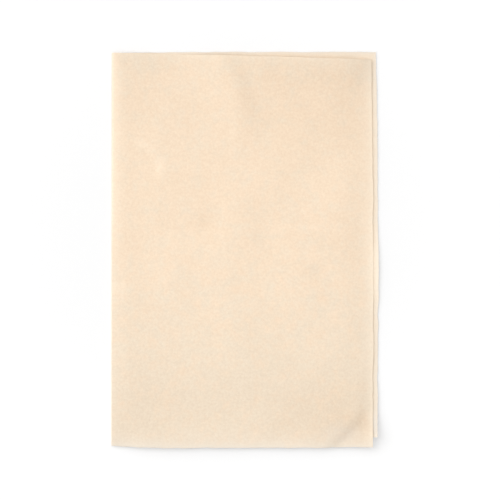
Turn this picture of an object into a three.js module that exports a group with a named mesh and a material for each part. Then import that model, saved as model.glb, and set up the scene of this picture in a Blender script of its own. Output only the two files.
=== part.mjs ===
import * as THREE from 'three';

// A polishing cloth: one sheet of napped cotton, folded once along its left side and laid on a table.
// Millimetres, +Z up. The fold runs along Y; the leaves reach from it towards +X.

// The sheet and its fold
const CLOTH_THICKNESS = 1.0;
const LEAF_GAP = 0.6;
const FOLD_LENGTH = 299;
const FOLD_NOSE = 2.2;
const BEND_CLEARANCE = 0.3;

// The upper leaf: widths from the fold to its free corners, and how far those corners lie off square
const UPPER_TOP_WIDTH = 198.1;
const UPPER_BOTTOM_WIDTH = 199.5;
const UPPER_TOP_RISE = -5.1;
const UPPER_BOTTOM_RISE = -1.8;
const UPPER_TOP_BOW = 0.7;
const UPPER_FREE_BOW = 0.7;
const UPPER_BOTTOM_BOW = 1.3;

// The lower leaf, which shows as a narrow strip along the top and the right
const LOWER_TOP_WIDTH = 201.8;
const LOWER_BOTTOM_WIDTH = 202.7;
const LOWER_TOP_RISE = 1.4;
const LOWER_BOTTOM_RISE = 7.0;
const LOWER_TOP_BOW = 0.9;
const LOWER_FREE_BOW = 1.3;
const LOWER_BOTTOM_BOW = 0.4;

// The crease across the lower right corner: its reach along both cut edges, and the curl beyond it
const CREASE_ALONG_BOTTOM = 27.5;
const CREASE_ALONG_FREE_EDGE = 26.3;
const CREASE_CLEARANCE = 0.3;
const CORNER_CURL = 2.5;
const CREASE_RIDGE_HEIGHT = 1.0;
const CREASE_RIDGE_OFFSET = 9;
const CREASE_RIDGE_LENGTH = 45;

// The wave that lifts both free edges half way down
const EDGE_WAVE_HEIGHT = 1.2;
const EDGE_WAVE_DEPTH = 16;
const EDGE_WAVE_HALF_LENGTH = 42;
const EDGE_WAVE_CENTRE = -17;

// The upper leaf's cut edges curl up a little at the right and at the bottom
const EDGE_CURL_HEIGHT = 0.5;
const EDGE_CURL_DEPTH = 7;

// The soft ridge that runs down from the upper leaf's top edge
const RIDGE_HEIGHT = 0.7;
const RIDGE_HALF_WIDTH = 15;
const RIDGE_FROM_FOLD = 88;
const RIDGE_RUN = 60;
const RIDGE_DRIFT = 17;

// Cells of the leaves' grids; the corner has its own, finer ones
const LEAF_COLUMNS = 16;
const LEAF_ROWS = 20;
const CORNER_CELLS = 6;
const BEND_SEGMENTS = 6;

const STACK_HEIGHT = 2 * CLOTH_THICKNESS + LEAF_GAP;
const LEAF_START = FOLD_NOSE + BEND_CLEARANCE;

// An S-shaped step from 0 at a to 1 at b
const step = (a, b, x) => THREE.MathUtils.smoothstep((x - a) / (b - a), 0, 1);

// A round bump: 1 at its middle and exactly 0 from its reach outwards
const bump = (x, reach) => 1 - step(0, reach, Math.abs(x));

// One cut edge: a shallow arc that bows out of the chord, to its left
function cutEdge(from, to, bow) {
  const chord = to.clone().sub(from);
  const outward = new THREE.Vector2(-chord.y, chord.x).normalize();
  const control = from.clone().add(to).multiplyScalar(0.5).addScaledVector(outward, 2 * bow);
  return new THREE.QuadraticBezierCurve(from, control, to);
}

// A leaf's outline: the bend side is straight, the three cut edges are arcs.
// at(s, t) is a Coons patch between them: s runs from the bend to the free edge, t from bottom to top.
function leafOutline({ topWidth, bottomWidth, topRise, bottomRise, topBow, freeBow, bottomBow }) {
  const half = FOLD_LENGTH / 2;
  const foldBottom = new THREE.Vector2(LEAF_START, -half);
  const foldTop = new THREE.Vector2(LEAF_START, half);
  const freeBottom = new THREE.Vector2(bottomWidth, -half + bottomRise);
  const freeTop = new THREE.Vector2(topWidth, half + topRise);
  const top = cutEdge(foldTop, freeTop, topBow);
  const bottom = cutEdge(foldBottom, freeBottom, -bottomBow);
  const free = cutEdge(freeBottom, freeTop, -freeBow);
  const at = (s, t) => {
    const across = bottom.getPoint(s).lerp(top.getPoint(s), t);
    const along = foldBottom.clone().lerp(foldTop, t).lerp(free.getPoint(t), s);
    const low = foldBottom.clone().lerp(freeBottom, s);
    const corners = low.lerp(foldTop.clone().lerp(freeTop, s), t);
    return across.add(along).sub(corners);
  };
  return { at, bottom, free, freeBottom };
}

const upper = leafOutline({
  topWidth: UPPER_TOP_WIDTH,
  bottomWidth: UPPER_BOTTOM_WIDTH,
  topRise: UPPER_TOP_RISE,
  bottomRise: UPPER_BOTTOM_RISE,
  topBow: UPPER_TOP_BOW,
  freeBow: UPPER_FREE_BOW,
  bottomBow: UPPER_BOTTOM_BOW,
});

const lower = leafOutline({
  topWidth: LOWER_TOP_WIDTH,
  bottomWidth: LOWER_BOTTOM_WIDTH,
  topRise: LOWER_TOP_RISE,
  bottomRise: LOWER_BOTTOM_RISE,
  topBow: LOWER_TOP_BOW,
  freeBow: LOWER_FREE_BOW,
  bottomBow: LOWER_BOTTOM_BOW,
});

// The crease is a straight line between a point on the upper leaf's bottom edge and one on its free edge
const creaseColumn = 1 - CREASE_ALONG_BOTTOM / upper.bottom.getLength();
const creaseRow = CREASE_ALONG_FREE_EDGE / upper.free.getLength();
const creaseStart = upper.at(creaseColumn, 0);
const creaseEnd = upper.at(1, creaseRow);
const creaseRun = creaseEnd.clone().sub(creaseStart).normalize();
const towardsCorner = new THREE.Vector2(creaseRun.y, -creaseRun.x);
const pastCrease = (p) => p.clone().sub(creaseStart).dot(towardsCorner);
const cornerReach = pastCrease(upper.freeBottom);

// Lifts that both leaves share: the corner's curl, and the wave of the free edges
function sharedLift(p, s) {
  const curl = CORNER_CURL * (Math.max(pastCrease(p), 0) / cornerReach) ** 2;
  const fromEdge = (1 - s) * LOWER_BOTTOM_WIDTH;
  const wave = bump(p.y - EDGE_WAVE_CENTRE, EDGE_WAVE_HALF_LENGTH) * bump(fromEdge, EDGE_WAVE_DEPTH);
  return curl + EDGE_WAVE_HEIGHT * wave;
}

// Lifts of the upper leaf alone: the ridge beside the crease, the curled cut edges and the top ridge
function upperLift(p, s, t) {
  const inside = -pastCrease(p);
  const ridgeTop = CREASE_RIDGE_OFFSET;
  const ridgeEnd = CREASE_RIDGE_LENGTH;
  const creaseRidge = step(0, ridgeTop, inside) * (1 - step(ridgeTop, ridgeEnd, inside));
  const fromFreeEdge = (1 - s) * UPPER_BOTTOM_WIDTH;
  const fromBottom = t * FOLD_LENGTH;
  const curl = Math.max(bump(fromFreeEdge, EDGE_CURL_DEPTH), bump(fromBottom, EDGE_CURL_DEPTH));
  const clearOfCrease = step(0, 2 * EDGE_CURL_DEPTH, inside);
  const fromTop = (1 - t) * FOLD_LENGTH;
  const ridgeLine = RIDGE_FROM_FOLD + RIDGE_DRIFT * (fromTop / RIDGE_RUN);
  const topRidge = bump(p.x - ridgeLine, RIDGE_HALF_WIDTH) * (1 - step(0, RIDGE_RUN, fromTop));
  return CREASE_RIDGE_HEIGHT * creaseRidge + EDGE_CURL_HEIGHT * curl * clearOfCrease + RIDGE_HEIGHT * topRidge;
}

// Evenly spaced values from one end to another, without the first
const spaced = (from, to, count) => Array.from({ length: count }, (_, k) => from + ((to - from) * (k + 1)) / count);

const columns = [0, ...spaced(0, creaseColumn, LEAF_COLUMNS), ...spaced(creaseColumn, 1, CORNER_CELLS)];
const rows = [0, ...spaced(0, creaseRow, CORNER_CELLS), ...spaced(creaseRow, 1, LEAF_ROWS)];

// A closed body of the cloth's thickness over those triangles of a leaf's grid that the piece keeps.
// Every cell is cut from its lower left to its upper right corner, so the crease runs along cell diagonals.
// steps is how many cells a vertex lies past the crease; placed gives its point and underside height.
function clothPanel(keeps, placed) {
  const across = columns.length;
  const used = new Map();
  const points = [];
  const vertex = (i, j) => {
    const key = j * across + i;
    if (!used.has(key)) {
      used.set(key, points.length);
      points.push(placed(columns[i], rows[j], i - LEAF_COLUMNS - j));
    }
    return used.get(key);
  };
  const faces = [];
  for (let j = 0; j + 1 < rows.length; j += 1) {
    for (let i = 0; i + 1 < across; i += 1) {
      const steps = i - LEAF_COLUMNS - j;
      if (keeps(steps >= 0)) faces.push([vertex(i, j), vertex(i + 1, j), vertex(i + 1, j + 1)]);
      if (keeps(steps > 0)) faces.push([vertex(i, j), vertex(i + 1, j + 1), vertex(i, j + 1)]);
    }
  }
  const count = points.length;
  const edges = new Set();
  const index = [];
  for (const [a, b, c] of faces) {
    index.push(a, b, c, c + count, b + count, a + count);
    for (const [from, to] of [[a, b], [b, c], [c, a]]) edges.add(`${from} ${to}`);
  }
  for (const edge of edges) {
    const [a, b] = edge.split(' ').map(Number);
    if (!edges.has(`${b} ${a}`)) index.push(a + count, b + count, b, a + count, b, a);
  }
  const upperFace = points.flatMap(({ x, y, z }) => [x, y, z + CLOTH_THICKNESS]);
  const underside = points.flatMap(({ x, y, z }) => [x, y, z]);
  const geometry = new THREE.BufferGeometry();
  geometry.setAttribute('position', new THREE.Float32BufferAttribute([...upperFace, ...underside], 3));
  geometry.setIndex(index);
  geometry.computeVertexNormals();
  return geometry;
}

// A point of the upper leaf; on the crease itself it moves back by half the crease's clearance
function upperPoint(s, t, steps, side) {
  const p = upper.at(s, t);
  const z = CLOTH_THICKNESS + LEAF_GAP + sharedLift(p, s) + upperLift(p, s, t);
  if (steps === 0) p.addScaledVector(towardsCorner, (side * CREASE_CLEARANCE) / 2);
  return new THREE.Vector3(p.x, p.y, z);
}

function lowerPoint(s, t) {
  const p = lower.at(s, t);
  return new THREE.Vector3(p.x, p.y, sharedLift(p, s));
}

// The bend's section is a half ring of two half ellipses, flattened as a pressed fold is
function foldBend() {
  const middle = STACK_HEIGHT / 2;
  const section = new THREE.Shape();
  section.moveTo(FOLD_NOSE, 0);
  section.absellipse(FOLD_NOSE, middle, FOLD_NOSE, middle, -Math.PI / 2, Math.PI / 2, true);
  section.lineTo(FOLD_NOSE, CLOTH_THICKNESS + LEAF_GAP);
  const inside = FOLD_NOSE - CLOTH_THICKNESS;
  section.absellipse(FOLD_NOSE, middle, inside, LEAF_GAP / 2, Math.PI / 2, -Math.PI / 2, false);
  const geometry = new THREE.ExtrudeGeometry(section, {
    depth: FOLD_LENGTH,
    bevelEnabled: false,
    curveSegments: BEND_SEGMENTS,
  });
  return geometry.rotateX(Math.PI / 2).translate(0, FOLD_LENGTH / 2, 0);
}

function clothMesh(name, geometry, color) {
  const material = new THREE.MeshStandardMaterial({ color, roughness: 0.95, metalness: 0 });
  const mesh = new THREE.Mesh(geometry, material);
  mesh.name = name;
  return mesh;
}

const cloth = new THREE.Group();
cloth.add(
  clothMesh('lower_leaf', clothPanel(() => true, lowerPoint), '#f4dfc4'),
  clothMesh('fold_bend', foldBend(), '#f7e4cb'),
  clothMesh('upper_leaf', clothPanel((past) => !past, (s, t, k) => upperPoint(s, t, k, -1)), '#f7e2c8'),
  clothMesh('corner_flap', clothPanel((past) => past, (s, t, k) => upperPoint(s, t, k, 1)), '#f6e1c7'),
);

// The origin is the middle of the folded cloth's footprint, on the table
const footprint = new THREE.Box3().setFromObject(cloth).getCenter(new THREE.Vector3());
cloth.position.set(-footprint.x, -footprint.y, 0);

export default cloth;
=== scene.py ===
"""A polishing cloth of cream napped cotton, folded once along its left side and laid on a table.
It is seen straight from above."""
import math

import bpy
import numpy as np
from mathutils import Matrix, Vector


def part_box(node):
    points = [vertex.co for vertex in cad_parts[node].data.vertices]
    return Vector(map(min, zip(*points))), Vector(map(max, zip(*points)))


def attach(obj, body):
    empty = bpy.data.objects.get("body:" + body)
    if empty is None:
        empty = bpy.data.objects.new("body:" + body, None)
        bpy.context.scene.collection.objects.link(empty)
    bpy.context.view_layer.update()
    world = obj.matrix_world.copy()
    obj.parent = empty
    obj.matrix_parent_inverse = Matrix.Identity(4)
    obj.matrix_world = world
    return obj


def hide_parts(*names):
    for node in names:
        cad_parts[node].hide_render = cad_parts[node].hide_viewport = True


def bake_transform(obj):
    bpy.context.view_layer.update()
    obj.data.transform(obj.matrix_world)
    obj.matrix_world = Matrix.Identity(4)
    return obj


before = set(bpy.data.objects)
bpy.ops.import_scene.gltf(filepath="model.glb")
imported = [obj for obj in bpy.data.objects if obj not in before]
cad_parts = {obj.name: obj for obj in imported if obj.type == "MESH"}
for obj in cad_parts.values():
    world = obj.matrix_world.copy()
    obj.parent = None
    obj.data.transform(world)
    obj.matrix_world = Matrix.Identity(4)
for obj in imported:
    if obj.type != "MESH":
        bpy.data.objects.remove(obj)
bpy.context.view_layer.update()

# Shapes are worked out in millimetres: x from the fold's nose towards the free edges, y from the fold's
# middle along the fold, z from the table. The frame is in metres.
MM = 0.001

# The sheet, its fold, its rounded cut edges, and how high in the thickness their rims lie: the folded leaf's
# and the lower leaf's
THICKNESS = 0.7
LEAF_GAP = 0.6
FOLD_NOSE = 2.2
NOSE_PROUD = 0.1
FOLD_LENGTH = 299.8
FOLD_LEAN = 0.15
EDGE_ROUND = 0.4
EDGE_MEET = 0.85
LOWER_MEET = 1.0

# The cut edges are pressed thinner: the upper and the lower leaf's share of the thickness there, how far in
# the sheet has its full one, and how far from the fold this begins. At the wave of the free edges the upper
# leaf is pressed more and the lower one is not.
UPPER_THIN = 0.42
LOWER_THIN = 0.71
UPPER_THIN_REACH = 25.0
LOWER_THIN_REACH = 15.0
THIN_FROM = 32.0
WAVE_PRESS = 0.85

# The leaves' outlines: widths from the nose to the free corners, how far those lie off square, the edges'
# bows, how far the bottom edge drops soon after the fold's end, the bulges of the free edge (where along it,
# their reach and their size) and the seed of the edges' wander
UPPER = dict(top_width=198.1, bottom_width=199.0, top_rise=-5.3, bottom_rise=-0.7,
             top_bow=0.1, free_bow=0.9, bottom_bow=0.4, end_drop=1.2,
             bulges=[(-17.0, 42.0, 0.4), (44.0, 22.0, 0.6), (-76.0, 18.0, 0.4)], seed=11)
LOWER = dict(top_width=201.6, bottom_width=202.5, top_rise=0.6, bottom_rise=7.0,
             top_bow=0.4, free_bow=1.2, bottom_bow=0.4, end_drop=0.0,
             bulges=[(-17.0, 42.0, 0.4)], seed=21)
END_REACH = 16.0

# Wander of the cut edges
WANDER = 0.14
WANDER_WAVES = (7.0, 45.0)
WANDER_POWER = 8

# The crease across the lower right corner: the curl past it, the broad lift of the corner, the ridge beside
# the crease, and the band that bends when the corner is turned back
CREASE_ALONG_BOTTOM = 25.95
CREASE_ALONG_FREE_EDGE = 24.82
CORNER_CURL = 2.4
CORNER_CURL_POWER = 1.4
CORNER_CURL_START = 3.0
CORNER_LIFT = 3.6
CORNER_LIFT_REACH = 36.0
CREASE_RIDGE_HEIGHT = 1.1
CREASE_RIDGE_OFFSET = 8.5
CREASE_RIDGE_LENGTH = 45.0
CREASE_VALLEY = 1.5

# The wave that lifts both free edges half way down, and how far the upper edge lies inside the lower one
EDGE_WAVE_HEIGHT = 0.5
EDGE_WAVE_DEPTH = 7.0
EDGE_WAVE_HALF_LENGTH = 42.0
EDGE_WAVE_CENTRE = -17.0
LEDGE = 3.2

# The lower end of both free edges stands off the table before the corner
EDGE_STAND_HEIGHT = 0.65
EDGE_STAND_DEPTH = 30.0
EDGE_STAND_HALF_LENGTH = 26.0
EDGE_STAND_CENTRE = -112.0

# The cut edges curl up a little, the lower leaf's more at the wave. The curl of the upper leaf's bottom edge
# is the highest: it begins at the fold, changes along the edge and is less at the free edge.
UPPER_CURL_HEIGHT = 0.05
LOWER_CURL_HEIGHT = 0.15
LOWER_CURL_MORE = 0.1
CURL_DEPTH = 7.0
LOWER_CURL_DEPTH = 4.0
LOWER_CURL_FULL = 64.0
BOTTOM_CURL_HEIGHTS = (2.2, 1.9)
BOTTOM_CURL_CHANGES = (90.0, 150.0)
BOTTOM_CURL_DEPTH = 32.0
BOTTOM_CURL_AT_EDGE = 0.35
BOTTOM_CURL_FROM_EDGE = 30.0
BOTTOM_CURL_FROM_FOLD = 30.0

# The springy fold holds the leaves apart: the roll over it climbs from the nose, and the leaves close
# towards their free edges. Towards the fold's upper end the roll is higher and the nose rounder.
ROLL_HEIGHTS = (0.2, 0.9)
ROLL_REACH = 8.0
NOSE_POWERS = (4.5, 2.1)
INNER_POWERS = (2.0, 2.0)
ROUNDER_FROM = -30.0
ROUNDER_TO = 60.0
ROLL_MORE = 0.25
ROLL_MORE_REACH = 15.0
ROLL_MORE_Y = 112.0
ROLL_MORE_HALF_LENGTH = 40.0
EDGE_GAP = 0.02
CLOSED_AT = 190.0

# Along the top edge the leaves close sooner, and then stand apart again, more towards the free edge
TOP_CLOSED_FROM = 10.0
TOP_CLOSED_AT = 45.0
TOP_CLOSED_DEPTH = 30.0
TOP_GAPS = (2.0, 2.9)
TOP_GAP_FULL_AT = 90.0
TOP_GAP_FALLS = (182.0, 205.0)

# The soft ridge that runs down from the upper leaf's top edge, gentler on its fold side
RIDGE_HEIGHT = 1.4
RIDGE_FOLD_SIDE = 30.0
RIDGE_FREE_SIDE = 16.0
RIDGE_FROM_FOLD = 86.0
RIDGE_RUN = 80.0
RIDGE_FULL = 20.0
RIDGE_AT_EDGE = 0.35
RIDGE_DRIFT = 24.0

# Small dents of the upper leaf: where they lie, their reach and depth
DENTS = [(75.0, 21.0, 13.0, 0.3), (116.0, 24.6, 9.0, 0.2),
         (116.5, 7.0, 9.0, 0.15), (157.5, -18.5, 10.0, 0.2)]

# A short bent press mark near the fold: the ends of its two stretches, the run of each flank, its height,
# and how far from its middle it fades out, as a share of its length
MARKS = [((19.8, 83.3), (38.5, 69.0)), ((40.5, 66.0), (35.1, 54.3))]
MARK_FLANKS = (4.0, 30.0)
MARK_HEIGHT = 0.45
MARK_FADE = 0.8

# The slack of a soft sheet: long low waves all over it, none at the cut edges
SLACK_HEIGHT = 0.15
SLACK_MEAN = 0.2
SLACK_WAVES = (30.0, 100.0)
SLACK_REACH = 30.0
SLACK_SEED = 5

# Painted light and shade: patches that make the nap deeper where shade falls, over the crease, the lifted
# corner, the dents and broad zones, and paler where light falls, along the press mark, faint wrinkles and
# the free edge: where they lie on the flat sheet, the lower leaf below 0, their two reaches and their tone
PATCHES = [
    (165.0, 125.0, 105.0, 90.0, -0.28), (22.0, -124.0, 60.0, 64.0, -0.15), (164.0, -126.0, 66.0, 50.0, -0.5),
    (17.0, 118.0, 30.0, 42.0, -0.12), (71.7, 21.0, 21.0, 13.0, -0.32), (114.4, 7.6, 11.0, 10.0, -0.1),
    (155.0, -17.5, 13.0, 9.0, -0.2), (171.0, 23.0, 10.0, 9.0, -0.14), (114.0, 25.0, 9.0, 9.0, -0.1),
    (190.0, -141.0, 27.0, 25.0, -0.65), (5.0, -29.0, 14.0, 9.0, 0.25), (19.5, 82.5, 7.0, 4.5, 0.28),
    (25.0, 79.0, 7.0, 5.0, 0.32), (30.0, 74.5, 7.0, 5.5, 0.34), (34.5, 69.5, 7.0, 6.5, 0.34),
    (37.5, 63.5, 7.5, 7.5, 0.3), (37.0, 57.0, 6.5, 6.5, 0.24), (79.0, 144.0, 12.0, 10.0, 0.22),
    (93.0, 90.0, 6.0, 24.0, 0.18), (145.0, 17.0, 40.0, 5.0, 0.14), (150.0, -4.0, 42.0, 5.0, 0.14),
    (202.0, 0.0, 18.0, 55.0, 0.35), (95.0, 148.0, 95.0, 26.0, -0.12), (196.0, -134.0, 12.0, 14.0, -0.8),
    (-200.5, -134.0, 10.0, 22.0, -1.6), (194.0, 138.0, 12.0, 24.0, 0.45)]

# The colour turns greyer where the nap is thin and its yarn shows at a cut edge, less with each millimetre
# inwards, and in patches of painted cool shade on the creased corner and on the lower leaf's corner, which
# are given like those above
BARE_EDGE = 0.45
BARE_FALL = 0.8
COOL_SHADE_PATCHES = [(176.0, -143.0, 26.0, 16.0, 0.3), (-200.5, -134.0, 10.0, 22.0, 0.6)]

# How fast the look changes inwards. On the lower leaf the pale rim reaches further in, so distances from its
# cut edges count for this share, and for this many times where its yarn shows. On the upper leaf's ends the
# pale rim is set back, so some way is added to the distance from them. The fold is paled as if it lay this
# far from an edge, low and high on it: a painted highlight on the fold's rim.
LOWER_PALE_SPREAD = 0.3
LOWER_BARE = 3.0
UPPER_PALE_SET_BACK = 3.0
FOLD_PAINTED_HIGHLIGHT = (2.5, 0.8)

# The two sides of the sheet lie this far apart in the patterns' space, so that they don't look alike
SIDE_APART = 12.0

# The grids' spacing: cells of the leaves, the corner and the fold's zone, steps round the nose and a cut
# edge. A strip of the lower leaf belongs to the folded piece, and slivers of cells lie on both sides of that
# seam.
CELL = 1.55
CORNER_CELL = 1.0
FOLD_CELL = 0.8
FOLD_ZONE = 14.0
NOSE_SEGMENTS = 22
EDGE_RINGS = 4
STRIP_END = 8.0
SEAM_SLIVER = 0.06

STACK = 2 * THICKNESS + LEAF_GAP
HALF = FOLD_LENGTH / 2

# Length of sheet in the bend, half way through its thickness: half the way round an ellipse, from the mean
# of its squared half axes
BEND_LENGTH = np.pi * math.sqrt(((FOLD_NOSE - THICKNESS / 2) ** 2 + ((STACK - THICKNESS) / 2) ** 2) / 2)

fold_low, fold_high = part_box("fold_bend")
CLOTH_ORIGIN = np.array([fold_low.x, (fold_low.y + fold_high.y) / 2, 0.0])


def smooth(a, b, x):
    """An S-shaped step: 0 up to a, 1 from b on, 3r^2 - 2r^3 of the share r between."""
    r = np.clip((x - a) / (b - a), 0, 1)
    return r * r * (3 - 2 * r)


def hump(x, reach):
    """A round hump: 1 at 0, down an S-shaped step to 0 at reach on both sides."""
    return 1 - smooth(0, reach, np.abs(x))


def flare(distance, reach):
    """A lift that is steepest at an edge: (1 - r)^2, where r is the share of the reach from the edge."""
    return (1 - np.clip(distance / reach, 0, 1)) ** 2


def waves(x, y, lengths, seed, count=40):
    """A sum of sine waves in random directions, with wavelengths between two lengths and a spread of 1."""
    draw = np.random.default_rng(seed)
    turns = draw.uniform(0, 2 * np.pi, count)
    rates = 2 * np.pi / draw.uniform(*lengths, count)
    phases = draw.uniform(0, 2 * np.pi, count)
    total = 0.0 * x
    for turn, rate, phase in zip(turns, rates, phases):
        total = total + np.sin(rate * (x * np.cos(turn) + y * np.sin(turn)) + phase)
    return total * math.sqrt(2 / count)


def arc(start, end, bow, r):
    """A quadratic arc from start to end, with its control point 2 * bow left of the chord's middle."""
    start, end = np.array(start), np.array(end)
    chord = end - start
    left = np.array([-chord[1], chord[0]]) / np.hypot(*chord)
    control = (start + end) / 2 + 2 * bow * left
    r = r[:, None]
    return (1 - r) ** 2 * start + 2 * r * (1 - r) * control + r * r * end


def wander(r, length, seed):
    """The small unevenness of a cut edge at shares r of its length: waves that fade out at its two ends."""
    return WANDER * waves(r * length, 0 * r, WANDER_WAVES, seed) * (1 - (2 * r - 1) ** WANDER_POWER)


def leaf_plan(outline, s, t):
    """A leaf's points in plan, (rows, columns, 2), between its straight fold side and three arcs: the blend
    of the bottom and the top, plus that of the fold and the free edge, less that of the four corners. s runs
    from the fold to the free edge, t from bottom to top."""
    seed = outline["seed"]
    fold_bottom = np.array([FOLD_NOSE - FOLD_LEAN, -HALF])
    fold_top = np.array([FOLD_NOSE + FOLD_LEAN, HALF])
    free_bottom = np.array([outline["bottom_width"], -HALF + outline["bottom_rise"]])
    free_top = np.array([outline["top_width"], HALF + outline["top_rise"]])
    bottom = arc(fold_bottom, free_bottom, -outline["bottom_bow"], s)
    top = arc(fold_top, free_top, outline["top_bow"], s)
    free = arc(free_bottom, free_top, -outline["free_bow"], t)
    bottom[:, 1] += wander(s, outline["bottom_width"], seed)
    dropped = 1 - np.exp(-s * outline["bottom_width"] / END_REACH)
    bottom[:, 1] -= outline["end_drop"] * dropped * (1 - s)
    top[:, 1] += wander(s, outline["top_width"], seed + 1)
    free[:, 0] += wander(t, FOLD_LENGTH, seed + 2)
    for centre, reach, bulge in outline["bulges"]:
        free[:, 0] += bulge * hump(free[:, 1] - centre, reach)
    s, t = s[None, :, None], t[:, None, None]
    across = bottom[None] * (1 - t) + top[None] * t
    along = (fold_bottom * (1 - t) + fold_top * t) * (1 - s) + free[:, None] * s
    corners = ((fold_bottom * (1 - s) + free_bottom * s) * (1 - t)
               + (fold_top * (1 - s) + free_top * s) * t)
    return across + along - corners


# The leaves' free corners at the bottom, the crease's line in plan, and the direction from it to the corner
UPPER_CORNER = np.array([UPPER["bottom_width"], -HALF + UPPER["bottom_rise"]])
LOWER_CORNER = np.array([LOWER["bottom_width"], -HALF + LOWER["bottom_rise"]])
CREASE_START = UPPER_CORNER - np.array([CREASE_ALONG_BOTTOM, 0.0])
CREASE_END = UPPER_CORNER + np.array([0.0, CREASE_ALONG_FREE_EDGE])
crease_run = (CREASE_END - CREASE_START) / np.hypot(*(CREASE_END - CREASE_START))
TO_CORNER = np.array([crease_run[1], -crease_run[0]])
CORNER_REACH = (UPPER_CORNER - CREASE_START) @ TO_CORNER

# The corner is parted from the leaf half way from the crease to the ridge beside it
SEAM_SHARE = 1 + CREASE_RIDGE_OFFSET / 2 / CORNER_REACH
SEAM_ALONG_BOTTOM = SEAM_SHARE * CREASE_ALONG_BOTTOM
SEAM_ALONG_FREE_EDGE = SEAM_SHARE * CREASE_ALONG_FREE_EDGE


def past_crease(plan):
    """How far points in plan lie past the crease, towards the corner."""
    return (plan - CREASE_START) @ TO_CORNER


def from_lower_corner(plan):
    """How far points in plan lie from the lower leaf's free corner below."""
    return np.hypot(*np.moveaxis(plan - LOWER_CORNER, -1, 0))


def at_wave(plan):
    """How much of the free edges' wave there is at points in plan, by their place along the fold: a hump."""
    return hump(plan[..., 1] - EDGE_WAVE_CENTRE, EDGE_WAVE_HALF_LENGTH)


def shared_lift(plan, from_free_edge):
    """Lifts of both leaves: the corner's curl, a power of the way from a little before the crease, its broad
    lift about the lower leaf's corner, and the wave and the stand of the free edges, each a hump along the
    edge times a flare from it."""
    way = np.maximum(past_crease(plan) + CORNER_CURL_START, 0) / (CORNER_REACH + CORNER_CURL_START)
    curl = CORNER_CURL * way ** CORNER_CURL_POWER
    curl = curl + CORNER_LIFT * flare(from_lower_corner(plan), CORNER_LIFT_REACH)
    wave = at_wave(plan) * flare(from_free_edge, EDGE_WAVE_DEPTH)
    stand = hump(plan[..., 1] - EDGE_STAND_CENTRE, EDGE_STAND_HALF_LENGTH)
    stand = stand * flare(from_free_edge, EDGE_STAND_DEPTH)
    return curl + EDGE_WAVE_HEIGHT * wave + EDGE_STAND_HEIGHT * stand


def along_fold(ends, y):
    """A value that goes by an S-shaped step from its first end, low on the fold, to its second, high up."""
    return ends[0] + (ends[1] - ends[0]) * smooth(ROUNDER_FROM, ROUNDER_TO, y)


def leaf_gap(x, y):
    """The clearance between the leaves. From the nose to the roll's crest it widens as 1 - (1 - r)^2, where
    r is the share of the way. S-shaped steps then close it towards the free edge and, sooner, along the top
    edge, where they open it again by a gap that grows and then falls towards the free edge. The higher
    stretch of the roll adds a bump r * exp(1 - r)."""
    r = np.clip(x / ROLL_REACH, 0, 1)
    open_gap = LEAF_GAP + along_fold(ROLL_HEIGHTS, y) * (1 - (1 - r) ** 2)
    closed = smooth(ROLL_REACH, CLOSED_AT, x)
    at_top = smooth(HALF - TOP_CLOSED_DEPTH, HALF, y)
    closed = np.maximum(closed, smooth(TOP_CLOSED_FROM, TOP_CLOSED_AT, x) * at_top)
    stands = smooth(TOP_CLOSED_AT, TOP_GAP_FULL_AT, x) * (1 - smooth(*TOP_GAP_FALLS, x))
    grown = smooth(TOP_GAP_FULL_AT, TOP_GAP_FALLS[0], x)
    top_gap = TOP_GAPS[0] + (TOP_GAPS[1] - TOP_GAPS[0]) * grown
    left = EDGE_GAP + (top_gap - EDGE_GAP) * stands * at_top
    more = np.clip(x, 0, None) / (ROLL_MORE_REACH / 2)
    bump = ROLL_MORE * hump(y - ROLL_MORE_Y, ROLL_MORE_HALF_LENGTH) * more * np.exp(1 - more)
    return open_gap * (1 - closed) + left * closed + bump


def thinned(share, from_edge, reach, x):
    """A leaf's thickness: an S-shaped step from the share left at its cut edge to the full sheet. At the
    fold it is full."""
    thin = (1 - share) * (1 - smooth(0, reach, from_edge)) * smooth(STRIP_END, THIN_FROM, x)
    return THICKNESS * (1 - thin)


def press_mark(x, y, start, end):
    """A slanting mark: across it a steep flank on one side and a gentle one on the other, each half a hump,
    and along it another hump."""
    start, end = np.array(start), np.array(end)
    length = np.hypot(*(end - start))
    run = (end - start) / length
    along = (x - start[0]) * run[0] + (y - start[1]) * run[1]
    across = -(x - start[0]) * run[1] + (y - start[1]) * run[0]
    profile = np.where(across < 0, hump(across, MARK_FLANKS[0]), hump(across, MARK_FLANKS[1]))
    return MARK_HEIGHT * profile * hump(along - length / 2, MARK_FADE * length)


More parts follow.
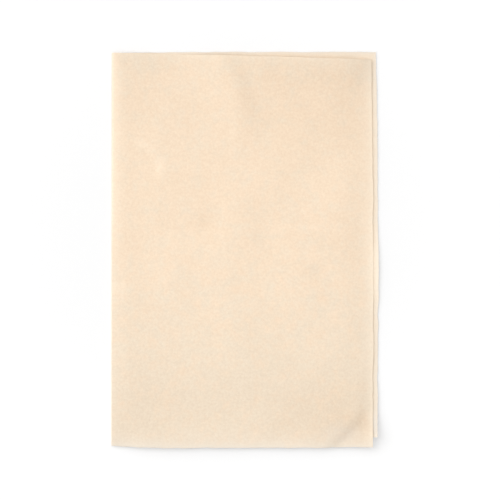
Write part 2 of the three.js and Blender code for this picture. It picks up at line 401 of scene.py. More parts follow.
def upper_lift(plan, from_free_edge, from_bottom, from_top):
    """Lifts of the upper leaf alone: the ridge beside the crease, up and down by S-shaped steps, the flares
    of the curled cut edges, the ridge at the top, a hump that drifts, the press mark, the dents, and the
    slack, a sum of waves."""
    x, y = plan[..., 0], plan[..., 1]
    inside = -past_crease(plan)
    crest = CREASE_RIDGE_OFFSET
    lift = CREASE_RIDGE_HEIGHT * smooth(-CREASE_VALLEY, crest, inside)
    lift = lift * (1 - smooth(crest, CREASE_RIDGE_LENGTH, inside))
    lift = lift * smooth(0, 2 * CURL_DEPTH, from_free_edge)
    low, high = BOTTOM_CURL_HEIGHTS
    bottom_curl = low + (high - low) * smooth(*BOTTOM_CURL_CHANGES, x)
    bottom_curl = bottom_curl * flare(from_bottom, BOTTOM_CURL_DEPTH)
    at_edge = 1 - smooth(0, BOTTOM_CURL_FROM_EDGE, from_free_edge)
    bottom_curl = bottom_curl * (1 - (1 - BOTTOM_CURL_AT_EDGE) * at_edge)
    free_curl = UPPER_CURL_HEIGHT * flare(from_free_edge, CURL_DEPTH) * smooth(0, 2 * CURL_DEPTH, inside)
    lift = lift + np.maximum(free_curl, bottom_curl * smooth(FOLD_NOSE, BOTTOM_CURL_FROM_FOLD, x))
    off_ridge = x - RIDGE_FROM_FOLD - RIDGE_DRIFT * from_top / RIDGE_RUN
    flank = np.where(off_ridge < 0, RIDGE_FOLD_SIDE, RIDGE_FREE_SIDE)
    fade = RIDGE_AT_EDGE + (1 - RIDGE_AT_EDGE) * smooth(0, RIDGE_FULL, from_top)
    fade = fade * (1 - smooth(RIDGE_FULL, RIDGE_RUN, from_top))
    lift = lift + RIDGE_HEIGHT * hump(off_ridge / flank, 1) * fade
    for start, end in MARKS:
        lift = lift + press_mark(x, y, start, end)
    for dent_x, dent_y, reach, depth in DENTS:
        lift = lift - depth * hump(np.hypot(x - dent_x, y - dent_y), reach)
    from_edge = np.minimum(from_free_edge, np.minimum(from_bottom, from_top))
    slack = SLACK_MEAN + SLACK_HEIGHT * waves(x, y, SLACK_WAVES, SLACK_SEED)
    return lift + slack * smooth(FOLD_NOSE, FOLD_ZONE, x) * smooth(0, SLACK_REACH, from_edge)


def pale_rim_distance(from_edge, along, y):
    """The distance that pales the nap, at the cut edges partly loose nap and partly a painted highlight:
    from the nearest cut edge, or from the fold with some way added, where the paleness is a painted
    highlight.
    """
    return np.minimum(from_edge, np.abs(along) + along_fold(FOLD_PAINTED_HIGHLIGHT, y))


def patchwork(along, y, patches):
    """The sum of some patches, each a round hump over an ellipse."""
    total = 0.0 * along
    for patch_x, patch_y, reach_x, reach_y, tone in patches:
        total = total + tone * hump(np.hypot((along - patch_x) / reach_x, (y - patch_y) / reach_y), 1)
    return total


def edge_taper(distance):
    """A cut edge's share of the full thickness: a quarter circle over the edge's rounding."""
    r = np.clip(distance / EDGE_ROUND, 0, 1)
    return np.sqrt(1 - (1 - r) ** 2)


# The rings of a rounded cut edge, as distances from it, and the taper that counts as its very rim
EDGE_STEPS = EDGE_ROUND * (1 - np.cos(np.linspace(0, np.pi / 2, EDGE_RINGS + 1)))
CUT_TAPER = 1e-6


def spaced(start, end, cell):
    """Even steps of about one cell from start to end, without the first."""
    return np.linspace(start, end, max(2, round(abs(end - start) / cell) + 1))[1:]


def put_together(name, points, faces, sheet, from_edge, from_cut, hard=None):
    """A mesh object from whole arrays. Each point carries what the material needs: the sheet's flat
    coordinates, the distance from_edge that pales the nap, partly as a painted highlight, the painted light
    and shade of the patches, and how grey the colour turns, by the distance from_cut where the yarn shows or
    by the patches of painted cool shade. Shading breaks at the hard edges."""
    mesh = bpy.data.meshes.new(name)
    mesh.vertices.add(len(points))
    mesh.vertices.foreach_set("co", (CLOTH_ORIGIN + points * MM).astype(np.float32).ravel())
    sides = faces.shape[1]
    mesh.loops.add(faces.size)
    mesh.loops.foreach_set("vertex_index", faces.astype(np.int32).ravel())
    mesh.polygons.add(len(faces))
    mesh.polygons.foreach_set("loop_start", np.arange(0, faces.size, sides, dtype=np.int32))
    mesh.update(calc_edges=True)
    mesh.polygons.foreach_set("use_smooth", np.ones(len(faces), bool))
    if hard is not None:
        ends = np.empty(2 * len(mesh.edges), np.int32)
        mesh.edges.foreach_get("vertices", ends)
        scale = np.array([len(points), 1], np.int64)
        sharp = np.isin(np.sort(ends.reshape(-1, 2)) @ scale, np.sort(hard) @ scale)
        mesh.edges.foreach_set("use_edge_sharp", sharp)
    along, y, depth = sheet.T
    faces_up = along * depth > 0
    # The colour greys where the yarn shows at the cut edges, and by painted cool shade in its patches
    bare_and_cool_shade = np.maximum(patchwork(along, y, COOL_SHADE_PATCHES) * faces_up, BARE_EDGE * BARE_FALL ** from_cut)
    flat = mesh.attributes.new("sheet", "FLOAT_VECTOR", "POINT")
    flat.data.foreach_set("vector", sheet.astype(np.float32).ravel())
    # The patches' tone is painted light and shade
    carried = dict(from_edge=from_edge, painted_light_and_shade=patchwork(along, y, PATCHES) * faces_up, bare_and_cool_shade=bare_and_cool_shade)
    for attribute, values in carried.items():
        mesh.attributes.new(attribute, "FLOAT", "POINT").data.foreach_set("value", values.astype(np.float32))
    mesh.update()
    mesh.validate()
    piece = bpy.data.objects.new(name, mesh)
    bpy.context.scene.collection.objects.link(piece)
    return piece


def cloth_piece(name, front, back, taper, meet, flat, from_edge, from_cut, front_side, kept=True):
    """A closed sheet between two grids of points that draw together where taper falls to 0, at a cut edge.
    There they meet at a share of the way from the back to the front.
    Each cell is cut from its lower left to its upper right corner, and kept picks its two triangles.
    Where the kept triangles end inside the grid, a flat wall joins the front to the back."""
    rows, columns = taper.shape
    count = rows * columns
    joined = back + (front - back) * np.asarray(meet)[..., None]
    points = [(joined + (side - joined) * taper[..., None]).reshape(-1, 3) for side in (front, back)]
    points = np.concatenate(points)
    depth = SIDE_APART * front_side * taper[..., None]
    sheet = np.concatenate([np.concatenate([flat, side * depth], -1).reshape(-1, 3) for side in (1, -1)])
    number = np.arange(count).reshape(rows, columns)
    a, b, c, d = number[:-1, :-1], number[:-1, 1:], number[1:, 1:], number[1:, :-1]
    triangles = np.stack([np.stack([a, b, c], -1), np.stack([a, c, d], -1)], 2)
    cut = taper.ravel() < CUT_TAPER
    triangles = triangles[kept & ~cut[triangles].all(-1)]
    behind = np.where(cut, np.arange(count), np.arange(count) + count)
    edges = triangles[:, [[0, 1], [1, 2], [2, 0]]].reshape(-1, 2)
    border = edges[~np.isin(edges @ [count, 1], edges @ [1, count])]
    start, end = border.T
    wall = np.concatenate([np.stack([end, start, behind[start]], 1),
                           np.stack([end, behind[start], behind[end]], 1)])
    wall = wall[(wall[:, 0] != wall[:, 1]) & (wall[:, 1] != wall[:, 2]) & (wall[:, 2] != wall[:, 0])]
    hard = border[~cut[border].all(1)]
    hard = np.concatenate([hard, behind[hard]])
    faces = np.concatenate([triangles, behind[triangles[:, ::-1]], wall])
    used, faces = np.unique(faces, return_inverse=True)
    from_edge = np.tile(from_edge.ravel(), 2)[used]
    from_cut = np.tile(from_cut.ravel(), 2)[used]
    return put_together(name, points[used], faces.reshape(-1, 3), sheet[used], from_edge, from_cut,
                        np.searchsorted(used, hard))


def lower_height(plan, from_free_edge, from_top):
    """The lower leaf's underside: what both leaves share, and the flares of its own curled cut edges, most
    at the wave and none at the lifted corner or the fold."""
    free_curl = LOWER_CURL_HEIGHT + LOWER_CURL_MORE * at_wave(plan)
    free_curl = free_curl * flare(from_free_edge, LOWER_CURL_DEPTH)
    free_curl = free_curl * smooth(0, CORNER_LIFT_REACH, from_lower_corner(plan))
    top_curl = LOWER_CURL_HEIGHT * flare(from_top, LOWER_CURL_DEPTH)
    top_curl = top_curl * smooth(STRIP_END, LOWER_CURL_FULL, plan[..., 0])
    return shared_lift(plan, from_free_edge) + np.maximum(free_curl, top_curl)


def with_height(plan, z):
    """Points in space from points in plan and their heights."""
    return np.concatenate([plan, z[..., None]], -1)


def lower_leaf():
    """The lower leaf beyond the strip that belongs to the fold: a grid over its outline, lifted by
    lower_height. Its cut edges are thinned, but not at the wave."""
    width = LOWER["bottom_width"] - FOLD_NOSE
    reach = np.concatenate([[STRIP_END, STRIP_END + SEAM_SLIVER],
                            spaced(STRIP_END + SEAM_SLIVER, FOLD_NOSE + width - EDGE_ROUND, CELL),
                            FOLD_NOSE + width - EDGE_STEPS[-2::-1]])
    rise = np.concatenate([EDGE_STEPS, spaced(EDGE_ROUND, FOLD_LENGTH - EDGE_ROUND, CELL),
                           FOLD_LENGTH - EDGE_STEPS[-2::-1]])
    s, t = (reach - FOLD_NOSE) / width, rise / FOLD_LENGTH
    plan = leaf_plan(LOWER, s, t)
    from_free_edge = (1 - s) * width + 0 * t[:, None]
    under = lower_height(plan, from_free_edge, (FOLD_LENGTH - rise)[:, None])
    from_edge = np.minimum(from_free_edge, np.minimum(rise, FOLD_LENGTH - rise)[:, None])
    taper = edge_taper(from_free_edge) * edge_taper(rise)[:, None] * edge_taper(FOLD_LENGTH - rise)[:, None]
    flat = np.stack([-BEND_LENGTH / 2 - (plan[..., 0] - FOLD_NOSE), plan[..., 1]], -1)
    share = 1 - (1 - LOWER_THIN) * (1 - at_wave(plan))
    front = with_height(plan, under + thinned(share, from_edge, LOWER_THIN_REACH, reach))
    back = with_height(plan, under)
    from_cut = from_edge * LOWER_BARE
    # The pale rim here is partly loose nap and partly a painted highlight
    from_edge = pale_rim_distance(from_edge * LOWER_PALE_SPREAD, flat[..., 0], flat[..., 1])
    piece = cloth_piece("lower_leaf_cloth", front, back, taper, LOWER_MEET, flat, from_edge, from_cut,
                        front_side=-1)
    return piece, (front + back) / 2, flat


def folded_leaf():
    """The upper leaf with the bend and a narrow strip of the lower leaf, and the creased corner, from one
    grid. Columns run along the strip, round the bend's two half rounds and out to the free edge. The corner
    is parted from the leaf along the cells' diagonals, between the crease and the ridge beside it."""
    lower_width = LOWER["bottom_width"] - FOLD_NOSE
    upper_width = UPPER["bottom_width"] - FOLD_NOSE
    ring = EDGE_STEPS / SEAM_ALONG_BOTTOM
    corner_share = np.concatenate([ring, spaced(ring[-1], 1 - ring[-1], CORNER_CELL / SEAM_ALONG_BOTTOM),
                                   1 - ring[-2::-1]])

    strip = np.concatenate([[STRIP_END, STRIP_END - SEAM_SLIVER],
                            spaced(STRIP_END - SEAM_SLIVER, FOLD_NOSE, FOLD_CELL)])
    turn = np.linspace(0, np.pi, NOSE_SEGMENTS + 1)[1:-1]
    reach = np.concatenate([[FOLD_NOSE], spaced(FOLD_NOSE, FOLD_ZONE, FOLD_CELL),
                            spaced(FOLD_ZONE, FOLD_NOSE + upper_width - SEAM_ALONG_BOTTOM, CELL),
                            FOLD_NOSE + upper_width - corner_share[-2::-1] * SEAM_ALONG_BOTTOM])
    rise = np.concatenate([corner_share * SEAM_ALONG_FREE_EDGE,
                           spaced(SEAM_ALONG_FREE_EDGE, FOLD_LENGTH - EDGE_ROUND, CELL),
                           FOLD_LENGTH - EDGE_STEPS[-2::-1]])
    t = rise / FOLD_LENGTH
    tall = np.ones((len(t), 1))

    plan = leaf_plan(LOWER, (strip - FOLD_NOSE) / lower_width, t)
    under = lower_height(plan, (FOLD_NOSE + lower_width - strip) * tall, (FOLD_LENGTH - rise)[:, None])
    strip_front, strip_back = with_height(plan, under), with_height(plan, under + THICKNESS)

    def half_round(long, high, powers):
        """Half a superellipse: the sine and the cosine of the turn, each to 2 over the power, plus the roll
        on its upper half."""
        y = (rise - HALF)[:, None] + 0 * turn
        power = 2 / along_fold(powers, y)
        x = FOLD_NOSE - (long + NOSE_PROUD) * np.sin(turn) ** power
        drop = np.sign(np.cos(turn)) * np.abs(np.cos(turn)) ** power
        roll = (leaf_gap(x, y) - LEAF_GAP) * (turn > np.pi / 2)
        return np.stack([x + FOLD_LEAN * y / HALF, y, STACK / 2 - high * drop + roll], -1)

    bend_front = half_round(FOLD_NOSE, STACK / 2, NOSE_POWERS)
    bend_back = half_round(FOLD_NOSE - THICKNESS, LEAF_GAP / 2, INNER_POWERS)

    s = (reach - FOLD_NOSE) / upper_width
    plan = leaf_plan(UPPER, s, t)
    from_free_edge = (1 - s) * upper_width * tall
    from_bottom, from_top = rise[:, None] + 0 * s, FOLD_LENGTH - rise[:, None] + 0 * s
    under = THICKNESS + leaf_gap(reach, (rise - HALF)[:, None]) + shared_lift(plan, from_free_edge + LEDGE)
    under = under + upper_lift(plan, from_free_edge, from_bottom, from_top)
    share = UPPER_THIN * (1 - WAVE_PRESS * at_wave(plan))
    from_thin_edge = np.minimum(from_free_edge, from_bottom)
    leaf_front = with_height(plan, under + thinned(share, from_thin_edge, UPPER_THIN_REACH, reach))
    leaf_back = with_height(plan, under)

    front = np.concatenate([strip_front, bend_front, leaf_front], 1)
    back = np.concatenate([strip_back, bend_back, leaf_back], 1)
    taper = np.concatenate([np.ones((len(t), len(strip) + len(turn))), edge_taper(from_free_edge)], 1)
    taper = taper * edge_taper(rise)[:, None] * edge_taper(FOLD_LENGTH - rise)[:, None]
    along = np.concatenate([FOLD_NOSE - strip - BEND_LENGTH / 2, (turn / np.pi - 0.5) * BEND_LENGTH,
                            reach - FOLD_NOSE + BEND_LENGTH / 2])
    flat = np.stack([along * tall, front[..., 1]], -1)
    from_ends = np.minimum(rise, FOLD_LENGTH - rise)[:, None] + 0 * along[:len(strip) + len(turn)]
    # The pale rim here is partly loose nap and partly a painted highlight, and on the fold a painted
    # highlight
    from_edge = np.minimum(from_free_edge, UPPER_PALE_SET_BACK + np.minimum(from_bottom, from_top))
    from_edge = pale_rim_distance(np.concatenate([from_ends, from_edge], 1), flat[..., 0], flat[..., 1])
    from_cut = rise[:, None] + 0 * along

    first = len(along) - len(corner_share)
    column, row = np.arange(len(along) - 1)[None, :] - first, np.arange(len(t) - 1)[:, None]
    in_corner = np.stack([column >= row, column > row], -1)
    meet = np.concatenate([0 * strip, turn / np.pi, 0 * reach + 1]) * (2 * EDGE_MEET - 1) + 1 - EDGE_MEET
    leaf = cloth_piece("upper_leaf_cloth", front, back, taper, meet, flat, from_edge, from_cut,
                       front_side=1, kept=~in_corner)
    corner = cloth_piece("corner_cloth", front, back, taper, meet, flat, from_edge, from_cut,
                         front_side=1, kept=in_corner)
    start = len(strip) + len(turn)
    return leaf, corner, ((front + back) / 2)[:, start:], flat[:, start:]


# Loose fibres of the cut edges. Pairs are the ends of even draws, spreads those of normal ones. Lengths are
# counted in FIBRE_LENGTH: the shortest, the mean of what is added to it, and the longest.
FIBRES_PER_MM = 4.0
FIBRE_LENGTH = 0.8
FIBRE_LENGTHS = (0.25, 0.6, 2.6)
FIBRE_RADIUS = 0.026
FIBRE_RADII = (0.6, 1.2)
FIBRE_SLIMS = 0.7
FIBRE_SIDES = 3
FIBRE_POINTS = 4
FIBRE_ASIDE_SPREAD = 0.7
FIBRE_RISE = 0.05
FIBRE_RISE_SPREAD = 0.35
FIBRE_BEND_SPREAD = 0.45
FIBRE_BEND_SHARES = (1.0, 1.0, 0.5)
FIBRE_ROOT_DEPTHS = (0.1, 0.35)
FIBRE_ROOT_RISES = (-0.25, 0.3)
RIM_STEP = 0.5

# A fibre's sides are laid out from a direction a little off the vertical, because some fibres are upright
OFF_VERTICAL = 0.01

# The corner's fibres begin this far past the crease, clear of the band that bends
CORNER_FIBRES_FROM = 5.25


def rim_of(middle, flat):
    """The cut edges of a leaf as one line: along the bottom, up the free edge and back along the top."""
    return [np.concatenate([grid[0], grid[1:, -1], grid[-1, -2::-1]]) for grid in (middle, flat)]


def edge_fibres(name, rim, rim_flat, seed, kept=None):
    """Fibres that stand out of a cut edge: three-sided tubes that taper along bent lines, each line
    root + length * (way * r + bend * r^2) for r from 0 to 1, with random roots, ways and bends. kept picks
    fibres by their roots in plan."""
    draw = np.random.default_rng(seed)
    steps = np.hypot(*np.diff(rim[:, :2], axis=0).T)
    travelled = np.concatenate([[0], np.cumsum(steps)])
    at = np.sort(draw.uniform(0, travelled[-1], round(travelled[-1] * FIBRES_PER_MM)))
    root = np.stack([np.interp(at, travelled, axis) for axis in rim.T], 1)
    flat = np.stack([np.interp(at, travelled, axis) for axis in rim_flat.T], 1)
    ahead = np.stack([np.interp(at + RIM_STEP, travelled, axis) for axis in rim.T], 1)
    before = np.stack([np.interp(at - RIM_STEP, travelled, axis) for axis in rim.T], 1)
    run = (ahead - before) / np.linalg.norm(ahead - before, axis=1, keepdims=True)
    out = np.stack([run[:, 1], -run[:, 0], 0 * at], 1)
    out = out / np.linalg.norm(out, axis=1, keepdims=True)
    up = np.array([0.0, 0.0, 1.0])
    count = len(at)
    aside = draw.normal(0, FIBRE_ASIDE_SPREAD, (count, 1))
    lift = draw.normal(FIBRE_RISE, FIBRE_RISE_SPREAD, (count, 1))
    bend = draw.normal(0, FIBRE_BEND_SPREAD, (count, 3)) * FIBRE_BEND_SHARES
    shortest, mean, longest = FIBRE_LENGTHS
    length = FIBRE_LENGTH * (shortest + draw.exponential(mean, (count, 1))).clip(max=longest)
    root = root - out * draw.uniform(*FIBRE_ROOT_DEPTHS, (count, 1))
    root = root + up * draw.uniform(*FIBRE_ROOT_RISES, (count, 1))
    way = out + aside * run + lift * up
    radius = FIBRE_RADIUS * draw.uniform(*FIBRE_RADII, (count, 1, 1, 1))
    if kept is not None:
        chosen = kept(root[:, :2])
        root, way, bend, length, radius, flat = [x[chosen] for x in (root, way, bend, length, radius, flat)]
        count = len(root)

    r = np.linspace(0, 1, FIBRE_POINTS)[None, :, None]
    line = root[:, None] + length[:, None] * (way[:, None] * r + bend[:, None] * r * r)
    line[..., 2] = np.maximum(line[..., 2], FIBRE_RADIUS)
    first = np.cross(way, up + OFF_VERTICAL)
    first = first / np.linalg.norm(first, axis=1, keepdims=True)
    second = np.cross(way, first)
    second = second / np.linalg.norm(second, axis=1, keepdims=True)
    turn = 2 * np.pi * np.arange(FIBRE_SIDES)[:, None] / FIBRE_SIDES
    round_it = first[:, None, None] * np.cos(turn) + second[:, None, None] * np.sin(turn)
    slim = (1 - FIBRE_SLIMS * r)[..., None]
    points = (line[:, :, None] + round_it * radius * slim).reshape(-1, 3)
    depth = draw.uniform(-SIDE_APART, SIDE_APART, (count, 1))
    sheet = np.repeat(np.concatenate([flat, depth], 1), FIBRE_POINTS * FIBRE_SIDES, axis=0)
    number = np.arange(len(points)).reshape(count, FIBRE_POINTS, FIBRE_SIDES)
    low, high = number[:, :-1], number[:, 1:]
    around = [np.roll(x, -1, 2) for x in (low, high)]
    sides = np.stack([low, around[0], around[1], high], -1).reshape(-1, 4)
    ends = np.concatenate([number[:, 0, ::-1], number[:, -1]])
    triangles = np.concatenate([sides[:, [0, 1, 2]], sides[:, [0, 2, 3]], ends])
    at_edge = np.zeros(len(points))
    return put_together(name, points, triangles, sheet, at_edge, at_edge)


class Wire:
    """A shader socket to write maths with: an expression on values adds its Math nodes."""

    def __init__(self, tree, socket=None):
        self.tree = tree
        self.socket = socket

    def node(self, kind, settings=None, inputs=None, out=0):
        """Adds any other node: its settings, then the values or links of its sockets, by identifier."""
        made = self.tree.nodes.new("ShaderNode" + kind)
        for name, value in (settings or {}).items():
            setattr(made, name, value)
        sockets = {socket.identifier: socket for socket in made.inputs}
        for name, value in (inputs or {}).items():
            if isinstance(value, Wire):
                self.tree.links.new(value.socket, sockets[name])
            else:
                sockets[name].default_value = value
        if isinstance(out, int):
            return Wire(self.tree, made.outputs[out])
        return Wire(self.tree, next(socket for socket in made.outputs if socket.identifier == out))

    def maths(self, operation, first, second=0.0):
        return self.node("Math", {"operation": operation}, {"Value": first, "Value_001": second})

    def __add__(self, other):
        return self.maths("ADD", self, other)

    def __radd__(self, other):
        return self.maths("ADD", other, self)

    def __sub__(self, other):
        return self.maths("SUBTRACT", self, other)

    def __rsub__(self, other):
        return self.maths("SUBTRACT", other, self)

    def __mul__(self, other):
        return self.maths("MULTIPLY", self, other)

    def __rmul__(self, other):
        return self.maths("MULTIPLY", other, self)

    def sine(self):
        return self.maths("SINE", self)


def new_material(name):
    """An empty node material: its output node and a wire to build from."""
    material = bpy.data.materials.new(name)
    material.use_nodes = True
    material.node_tree.nodes.clear()
    output = material.node_tree.nodes.new("ShaderNodeOutputMaterial")
    return material, output, Wire(material.node_tree)


# The nap's colours, as linear light, with the share of the tints in them, and the sizes of its patterns in
# millimetres
NAP_PALE = (1.0, 0.845, 0.660, 1.0)
NAP_DEEP = (0.840, 0.660, 0.480, 1.0)
NAP_ROSY = (0.955, 0.748, 0.556, 1.0)
NAP_STRAW = (0.872, 0.752, 0.602, 1.0)
# A pale rim colour: partly loose nap, partly a painted highlight
RIM_PALE = (1.0, 0.875, 0.710, 1.0)
# A greyer colour: yarn showing at the cut edges, painted cool shade in its patches
BARE_YARN_AND_COOL_SHADE = (0.840, 0.800, 0.735, 1.0)
HUE_SHARE = 0.5
GRAIN_SIZE = 1.9
HAIR_SIZE = 0.35
HAIR_STRETCH = (1, 0.3, 1)
HAIR_DISTORTION = 0.6
CLOUD_SIZE = 26.0
TINT_SIZE = 8.0
YARN_PITCH = 0.62
YARN_UNEVEN = 2.4
NOISE_DETAIL = 2.0
NOISE_ROUGHNESS = 0.6

# How much each pattern makes the nap paler, and how much it raises it
TONE_MIDDLE = 0.5
CLOUD_TONE = 0.5
GRAIN_TONE = 1.9
HAIR_TONE = 1.2
YARN_TONE = 0.04
GRAIN_RELIEF = 0.5
HAIR_RELIEF = 0.3
YARN_RELIEF = 0.03
BUMP_STRENGTH = 0.5
BUMP_DISTANCE = 0.1 * MM

# The nap pales at a cut edge, partly loose nap and partly a painted highlight, and on the fold as a painted
# highlight: the most of the pale colour, and its fall with each millimetre in
RIM_MOST = 0.6
RIM_FALL = 0.8

# The tints go from rosy to straw: the straw's share where the sheet is not rosy, how much a rosy place takes
# from it, and how much the patchy tint changes it. Painted warm light makes the sheet rosier towards one end
# of the fold, and less so again at that end: where along it each change begins and ends.
STRAW_SHARE = 0.9
ROSY_TAKES = 0.8
TINT_CHANGES = 2.4
ROSY_FROM = -130.0
ROSY_TO = 45.0
LESS_ROSY_FROM = 115.0
LESS_ROSY_TO = 152.0
LESS_ROSY = 0.5

# The finish of the nap
ROUGHNESS = 0.92
HAIR_ROUGHNESS = 0.12
GLOSS = 0.2
SHEEN = 0.12
SHEEN_ROUGHNESS = 0.6
SHEEN_TINT = (1.0, 0.93, 0.84, 1.0)


def napped_cotton():
    """Napped cotton, its nap raised by brushing. All patterns follow the flat sheet: broad clouds and tints,
    the grain of the nap, short hairs that lie along the sheet, and a faint weave of yarns under them. On top
    come painted light and shade from the patches, painted highlights at the rims and the fold, painted cool
    shade, and painted warm light along the fold."""
    material, output, wire = new_material("napped_cotton")
    sheet = wire.node("Attribute", {"attribute_name": "sheet"}, out="Vector")

    def carried(attribute):
        """A value that the mesh's points carry."""
        return wire.node("Attribute", {"attribute_name": attribute}, out="Fac")

    def noise(size, stretch=(1, 1, 1), distortion=0.0):
        """Noise over the flat sheet, with spots of about a size and its mean at 0."""
        place = wire.node("Mapping", {}, {"Vector": sheet, "Scale": tuple(x / size for x in stretch)})
        return wire.node("TexNoise", {}, {"Vector": place, "Scale": 1.0, "Detail": NOISE_DETAIL,
                                          "Roughness": NOISE_ROUGHNESS, "Distortion": distortion}) - 0.5

    def step(value, start, end, most=1.0):
        """An S-shaped step from 0 at the start to the most at the end."""
        return wire.node("MapRange", {"interpolation_type": "SMOOTHSTEP"},
                         {"Value": value, "From Min": start, "From Max": end, "To Max": most})

    def mixed(share, first, second, clamp=True):
        """A colour between two, by the second's share, which also goes past both where it isn't clamped."""
        return wire.node("Mix", {"data_type": "RGBA", "clamp_factor": clamp},
                         {"Factor_Float": share, "A_Color": first, "B_Color": second}, out="Result_Color")

    clouds, tint, grain = noise(CLOUD_SIZE), noise(TINT_SIZE), noise(GRAIN_SIZE)
    hairs = noise(HAIR_SIZE, HAIR_STRETCH, HAIR_DISTORTION)
    parts = wire.node("SeparateXYZ", {}, {"Vector": sheet})
    across, along = [Wire(wire.tree, parts.socket.node.outputs[axis]) for axis in ("X", "Y")]
    rate = 2 * math.pi / YARN_PITCH
    uneven = YARN_UNEVEN * (grain + hairs)
    yarns = (across * rate + uneven).sine() * (along * rate + uneven).sine()

    tone = TONE_MIDDLE + CLOUD_TONE * clouds + GRAIN_TONE * grain + HAIR_TONE * hairs + YARN_TONE * yarns
    # The patches add painted light and shade to the nap's tone
    nap = mixed(tone + carried("painted_light_and_shade"), NAP_DEEP, NAP_PALE, clamp=False)
    # Painted warm light: the sheet is rosier towards one end of the fold
    rosy = step(along, ROSY_FROM, ROSY_TO) - step(along, LESS_ROSY_FROM, LESS_ROSY_TO, LESS_ROSY)
    hue = mixed(STRAW_SHARE - ROSY_TAKES * rosy + TINT_CHANGES * tint, NAP_ROSY, NAP_STRAW)
    # The pale rim: partly loose nap at the cut edges, partly a painted highlight there and on the fold
    rim = RIM_MOST * wire.maths("POWER", RIM_FALL, carried("from_edge"))
    colour = mixed(rim, mixed(HUE_SHARE, nap, hue), RIM_PALE)
    # Greyer where the yarn shows at the cut edges, and painted cool shade in its patches
    colour = mixed(carried("bare_and_cool_shade"), colour, BARE_YARN_AND_COOL_SHADE)
    height = GRAIN_RELIEF * grain + HAIR_RELIEF * hairs + YARN_RELIEF * yarns
    bump = wire.node("Bump", {}, {"Strength": BUMP_STRENGTH, "Distance": BUMP_DISTANCE, "Height": height},
                     out="Normal")
    shader = wire.node("BsdfPrincipled", {}, {
        "Base Color": colour, "Roughness": ROUGHNESS + HAIR_ROUGHNESS * hairs, "Normal": bump,
        "Specular IOR Level": GLOSS, "Sheen Weight": SHEEN, "Sheen Roughness": SHEEN_ROUGHNESS,
        "Sheen Tint": SHEEN_TINT})
    material.node_tree.links.new(shader.socket, output.inputs["Surface"])
    return material


def dress(piece, material):
    """Gives a piece its finish in Blender."""
    piece.data.materials.append(material)


cotton = napped_cotton()
lower, lower_middle, lower_flat = lower_leaf()
upper, corner, upper_middle, upper_flat = folded_leaf()
lower_fibres = edge_fibres("lower_edge_fibres", *rim_of(lower_middle, lower_flat), seed=31)
upper_rim = rim_of(upper_middle, upper_flat)
upper_fibres = edge_fibres("upper_edge_fibres", *upper_rim, seed=32,
                           kept=lambda plan: past_crease(plan) < 0)
corner_fibres = edge_fibres("corner_edge_fibres", *upper_rim, seed=33,
                            kept=lambda plan: past_crease(plan) > CORNER_FIBRES_FROM)
for piece in (lower, upper, corner, lower_fibres, upper_fibres, corner_fibres):
    dress(piece, cotton)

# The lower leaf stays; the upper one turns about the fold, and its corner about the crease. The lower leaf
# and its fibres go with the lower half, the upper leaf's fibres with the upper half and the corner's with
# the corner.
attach(lower, "lower_half")
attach(lower_fibres, "lower_half")
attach(upper_fibres, "upper_half")
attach(corner_fibres, "corner")
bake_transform(upper)
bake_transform(corner)
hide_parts("lower_leaf")
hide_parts("upper_leaf", "fold_bend")
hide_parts("corner_flap")

# The photograph's frame: straight down, with the cloth a little left of the middle
FRAME_WIDTH = 381.25 * MM
FRAME_CENTRE = (3.75 * MM, -0.25 * MM)
CAMERA_HEIGHT = 1.2
SENSOR = 36.0

# The floor and the lights
FLOOR_HALF = 4.0
FLOOR_DROP = 0.02 * MM
FLOOR_COLOUR = (0.70, 0.70, 0.70, 1.0)
FLOOR_WHITE = 0.258
FLOOR_WHITE_RISE = 2.4
KEY_TURN = math.radians(162)
KEY_ELEVATION = math.radians(24)
KEY_SPREAD = math.radians(60)
KEY_LEVEL = 0.18
TOP_PLACE = (-0.012, 0.018)
TOP_HEIGHT = 0.28
TOP_SIZE = 0.35
TOP_LEVEL = 0.32
SKY_LEVEL = 0.64
SKY_LEAN = (-0.20, 0.30, 0.0)


def make_camera():
    """The camera looks straight down. Its lens shows the frame's width at the height of the folded sheet."""
    data = bpy.data.cameras.new("camera")
    data.sensor_width = SENSOR
    data.lens = SENSOR * (CAMERA_HEIGHT - STACK * MM) / FRAME_WIDTH
    camera = bpy.data.objects.new("camera", data)
    camera.location = (*FRAME_CENTRE, CAMERA_HEIGHT)
    bpy.context.scene.collection.objects.link(camera)
    bpy.context.scene.camera = camera


def wide_key():
    """The main light: from one side, without falloff, and so wide that its shadows are soft."""
    data = bpy.data.lights.new("key_light", "SUN")
    data.angle = KEY_SPREAD
    data.energy = KEY_LEVEL * math.pi / math.sin(KEY_ELEVATION)
    lamp = bpy.data.objects.new("key_light", data)
    lamp.rotation_euler = (0.0, math.pi / 2 - KEY_ELEVATION, KEY_TURN)
    bpy.context.scene.collection.objects.link(lamp)


def soft_lamp(name, place, size, level):
    """A square lamp that faces the cloth's middle. level is what a white sheet there, facing it, shows."""
    data = bpy.data.lights.new(name, "AREA")
    data.size = size
    distance = math.sqrt(sum(x * x for x in place))
    data.energy = level * math.pi ** 2 * distance ** 2
    lamp = bpy.data.objects.new(name, data)
    lamp.location = place
    towards = -np.array(place) / distance
    lamp.rotation_euler = (math.acos(-towards[2]), 0.0, math.atan2(-towards[0], towards[1]))
    lamp.visible_camera = False
    bpy.context.scene.collection.objects.link(lamp)


def shown_ray(wire):
    """1 for the rays that show a surface or its mirror image, 0 for those that only carry light."""
    path = wire.node("LightPath").socket.node.outputs
    camera, glossy, through = [Wire(wire.tree, path[f"Is {kind} Ray"])
                               for kind in ("Camera", "Glossy", "Transmission")]
    return wire.maths("MINIMUM", camera + glossy + through, 1.0)


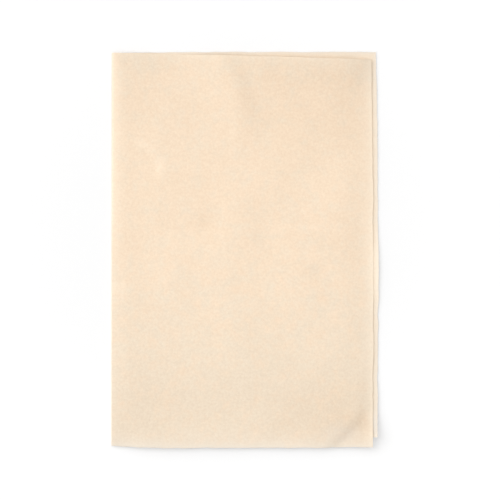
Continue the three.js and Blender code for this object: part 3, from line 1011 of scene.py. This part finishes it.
def make_floor():
    """A pale table whose own white is added for the camera, so that only the shadow shows on it. This white
    grows with the square of the distance from under the top lamp, because the lamp's light falls so."""
    material, output, wire = new_material("pale_table")
    matte = wire.node("BsdfDiffuse", {}, {"Color": FLOOR_COLOUR})
    place = wire.node("TexCoord", {}, out="Object")
    away = wire.node("VectorMath", {"operation": "SUBTRACT"},
                     {"Vector": place, "Vector_001": (*TOP_PLACE, 0.0)})
    square = wire.node("VectorMath", {"operation": "DOT_PRODUCT"},
                       {"Vector": away, "Vector_001": away}, out="Value")
    white = FLOOR_WHITE + FLOOR_WHITE_RISE * square
    glow = wire.node("Emission", {}, {"Strength": white * shown_ray(wire)})
    both = wire.node("AddShader", {}, {"Shader": matte, "Shader_001": glow})
    material.node_tree.links.new(both.socket, output.inputs["Surface"])
    mesh = bpy.data.meshes.new("table")
    corners = FLOOR_HALF * np.array([[-1, -1, 0], [1, -1, 0], [1, 1, 0], [-1, 1, 0]]) - [0, 0, FLOOR_DROP]
    mesh.from_pydata(corners.tolist(), [], [(0, 1, 2, 3)])
    mesh.materials.append(material)
    floor = bpy.data.objects.new("table", mesh)
    bpy.context.scene.collection.objects.link(floor)


def make_sky():
    """A soft light from all round, a little stronger on one side, which the camera sees as white."""
    world = bpy.data.worlds.new("sky")
    world.use_nodes = True
    world.node_tree.nodes.clear()
    wire = Wire(world.node_tree)
    shown = shown_ray(wire)
    way = wire.node("TexCoord", {}, out="Generated")
    lean = wire.node("VectorMath", {"operation": "DOT_PRODUCT"},
                     {"Vector": way, "Vector_001": SKY_LEAN}, out="Value")
    level = SKY_LEVEL * (1.0 + lean)
    sky = wire.node("Background", {}, {"Strength": level + (1.0 - level) * shown})
    sky.socket.node.inputs["Color"].default_value = (1.0, 1.0, 1.0, 1.0)
    output = world.node_tree.nodes.new("ShaderNodeOutputWorld")
    world.node_tree.links.new(sky.socket, output.inputs["Surface"])
    bpy.context.scene.world = world


make_camera()
wide_key()
soft_lamp("top_lamp", (*TOP_PLACE, TOP_HEIGHT), TOP_SIZE, TOP_LEVEL)
make_floor()
make_sky()
bpy.context.scene.view_settings.view_transform = "Standard"
